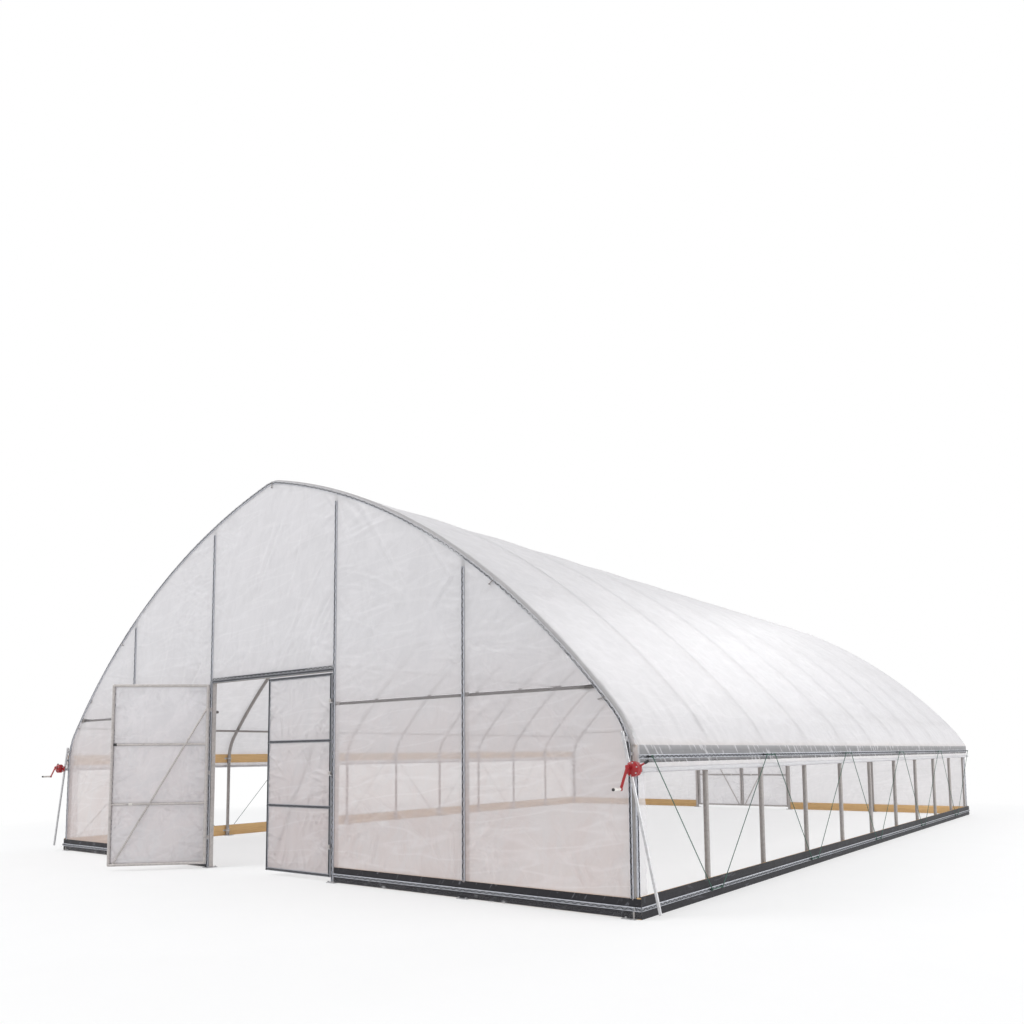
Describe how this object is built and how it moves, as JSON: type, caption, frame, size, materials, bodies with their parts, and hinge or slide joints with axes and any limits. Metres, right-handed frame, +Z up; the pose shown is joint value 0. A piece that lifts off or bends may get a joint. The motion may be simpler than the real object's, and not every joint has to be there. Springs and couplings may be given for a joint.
{
  "type": "polytunnel greenhouse",
  "caption": "Gothic-arch polytunnel of steel hoops under clear film, with hinged double doors in both ends, open roll-up sides, hand cranks and lacing ropes.",
  "frame": {"origin": "on the ground, at the middle of the footprint of the tunnel and its open door leaf", "axes": "+X across the tunnel to the right seen from the front, +Y along the tunnel from front to back, +Z up"},
  "size_m": [9.6244, 13.0754, 4.2941],
  "materials": {
    "steel_tube": "dull galvanised tube",
    "zinc_hardware": "galvanised plate and pole",
    "lock_channel": "mill aluminium channel with zigzag wire",
    "timber": "bare sawn pine",
    "clear_film": "milky translucent polythene film",
    "dark_film": "dark ground-cover film",
    "red_casting": "red enamel on castings",
    "green_rope": "dark green twisted rope"
  },
  "bodies": {
    "root": {"hoop_legs": "steel_tube", "eave_bends": "steel_tube", "rafters_left": "steel_tube", "rafters_right": "steel_tube", "ridge_bends": "steel_tube", "ridge_purlin": "steel_tube", "side_purlins": "steel_tube", "leg_foot_plates": "zinc_hardware", "post_foot_plates": "zinc_hardware", "jamb_posts": "steel_tube", "outer_posts": "steel_tube", "door_headers": "steel_tube", "cross_rails": "steel_tube", "roof_film": "clear_film", "front_film": "clear_film", "back_film": "clear_film", "side_baseboards": "timber", "hip_boards": "timber", "end_baseboards": "timber", "side_skirts": "dark_film", "end_skirts": "dark_film", "hip_bands": "dark_film", "arch_channels": "lock_channel", "upright_channels": "lock_channel", "header_channels": "lock_channel", "base_channels": "lock_channel", "hip_channels": "lock_channel", "corner_flaps": "clear_film", "film_rolls": "clear_film", "ropes_left": "green_rope", "ropes_right": "green_rope", "rope_hooks": "dark_film", "hinge_pins": "zinc_hardware", "guide_poles": "zinc_hardware", "crank_housings": "red_casting"},
    "front_left_leaf": {"front_left_leaf_frame": "steel_tube", "front_left_leaf_film": "clear_film"},
    "front_right_leaf": {"front_right_leaf_frame": "steel_tube", "front_right_leaf_film": "clear_film"},
    "back_left_leaf": {"back_left_leaf_frame": "steel_tube", "back_left_leaf_film": "clear_film"},
    "back_right_leaf": {"back_right_leaf_frame": "steel_tube", "back_right_leaf_film": "clear_film"},
    "left_crank": {"crank_left": "red_casting"},
    "right_crank": {"crank_right": "red_casting"}
  },
  "joints": [
    {"name": "front_left_leaf_hinge", "type": "hinge", "parent": "root", "child": "front_left_leaf", "pos_m": [-1.061, -5.765, 1.075], "axis": [0, 0, 1], "range_deg": [-34, 136]},
    {"name": "front_right_leaf_hinge", "type": "hinge", "parent": "root", "child": "front_right_leaf", "pos_m": [1.061, -5.765, 1.075], "axis": [0, 0, 1], "range_deg": [0, 170]},
    {"name": "back_left_leaf_hinge", "type": "hinge", "parent": "root", "child": "back_left_leaf", "pos_m": [-1.061, 6.529, 1.075], "axis": [0, 0, 1], "range_deg": [0, 170]},
    {"name": "back_right_leaf_hinge", "type": "hinge", "parent": "root", "child": "back_right_leaf", "pos_m": [1.061, 6.529, 1.075], "axis": [0, 0, 1], "range_deg": [-170, 0]},
    {"name": "left_crank_turn", "type": "hinge", "parent": "root", "child": "left_crank", "pos_m": [-4.607, -5.893, 1.136], "axis": [0, 1, 0], "continuous": true},
    {"name": "right_crank_turn", "type": "hinge", "parent": "root", "child": "right_crank", "pos_m": [4.607, -5.893, 1.136], "axis": [0, 1, 0], "continuous": true}
  ]
}
